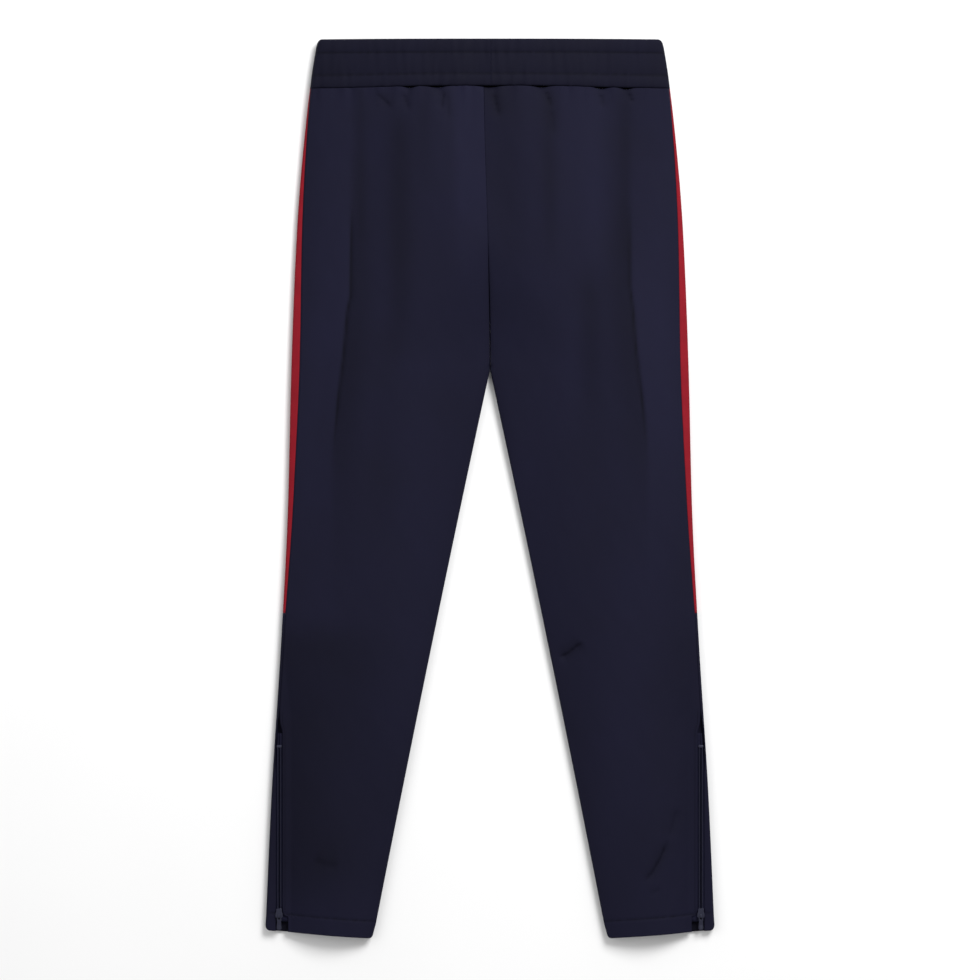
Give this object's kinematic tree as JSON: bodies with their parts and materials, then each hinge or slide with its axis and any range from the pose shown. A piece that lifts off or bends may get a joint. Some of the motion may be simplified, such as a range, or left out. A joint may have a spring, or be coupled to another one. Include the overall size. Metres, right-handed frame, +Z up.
{
  "type": "track trousers",
  "caption": "Slim knit track trousers laid flat, back up: gathered elastic waist, side stripes to the knee, ankle zips that run and legs that fold at the knee.",
  "frame": {"origin": "middle of the footprint, on the surface that the trousers lie on", "axes": "+X to the wearer's right, +Y from the hems to the waist, +Z up, out of the back of the trousers"},
  "size_m": [0.4948, 0.99, 0.0308],
  "materials": {
    "navy_knit": "smooth warp-knit polyester, faint sheen",
    "waist_knit": "the same knit, gathered over elastic",
    "red_tape": "matt woven stripe",
    "elastic": "ribbed elastic",
    "zip_tape": "herringbone zip tape",
    "zip_coil": "nylon coil",
    "zip_metal": "dark enamelled slider"
  },
  "bodies": {
    "seat": {"waistband_back": "waist_knit", "waistband_front": "waist_knit", "waist_elastic": "elastic", "left_thigh_back": "navy_knit", "right_thigh_back": "navy_knit", "left_thigh_front": "navy_knit", "right_thigh_front": "navy_knit", "left_side_stripe": "red_tape", "right_side_stripe": "red_tape"},
    "left_shin": {"left_shin_back": "navy_knit", "left_shin_front": "navy_knit", "left_hem_back": "navy_knit", "left_hem_front": "navy_knit", "left_zip_tape_inner": "zip_tape", "left_zip_tape_outer": "zip_tape", "left_zip_coil_inner": "zip_coil", "left_zip_coil_outer": "zip_coil", "left_zip_end_stop": "zip_metal", "left_zip_hem_stop_inner": "zip_metal", "left_zip_hem_stop_outer": "zip_metal"},
    "right_shin": {"right_shin_back": "navy_knit", "right_shin_front": "navy_knit", "right_hem_back": "navy_knit", "right_hem_front": "navy_knit", "right_zip_tape_inner": "zip_tape", "right_zip_tape_outer": "zip_tape", "right_zip_coil_inner": "zip_coil", "right_zip_coil_outer": "zip_coil", "right_zip_end_stop": "zip_metal", "right_zip_hem_stop_inner": "zip_metal", "right_zip_hem_stop_outer": "zip_metal"},
    "left_slider": {"left_zip_slider": "zip_metal"},
    "right_slider": {"right_zip_slider": "zip_metal"},
    "left_pull": {"left_zip_pull": "zip_metal"},
    "right_pull": {"right_zip_pull": "zip_metal"}
  },
  "joints": [
    {"name": "left_knee_fold", "type": "hinge", "parent": "seat", "child": "left_shin", "pos_m": [-0.14722, -0.172, 0.021], "axis": [-0.992, 0.1262, 0], "range_deg": [0, 170]},
    {"name": "right_knee_fold", "type": "hinge", "parent": "seat", "child": "right_shin", "pos_m": [0.14722, -0.172, 0.021], "axis": [-0.992, -0.1262, 0], "range_deg": [0, 170]},
    {"name": "left_zip_slide", "type": "slide", "parent": "left_shin", "child": "left_slider", "axis": [0, 1, 0], "range_m": [0, 0.1765]},
    {"name": "right_zip_slide", "type": "slide", "parent": "right_shin", "child": "right_slider", "axis": [0, 1, 0], "range_m": [0, 0.1765]},
    {"name": "left_pull_flip", "type": "hinge", "parent": "left_slider", "child": "left_pull", "pos_m": [-0.23222, -0.4702, 0.0114], "axis": [-1, 0, 0], "range_deg": [0, 172]},
    {"name": "right_pull_flip", "type": "hinge", "parent": "right_slider", "child": "right_pull", "pos_m": [0.23222, -0.4702, 0.0114], "axis": [-1, 0, 0], "range_deg": [0, 172]}
  ]
}
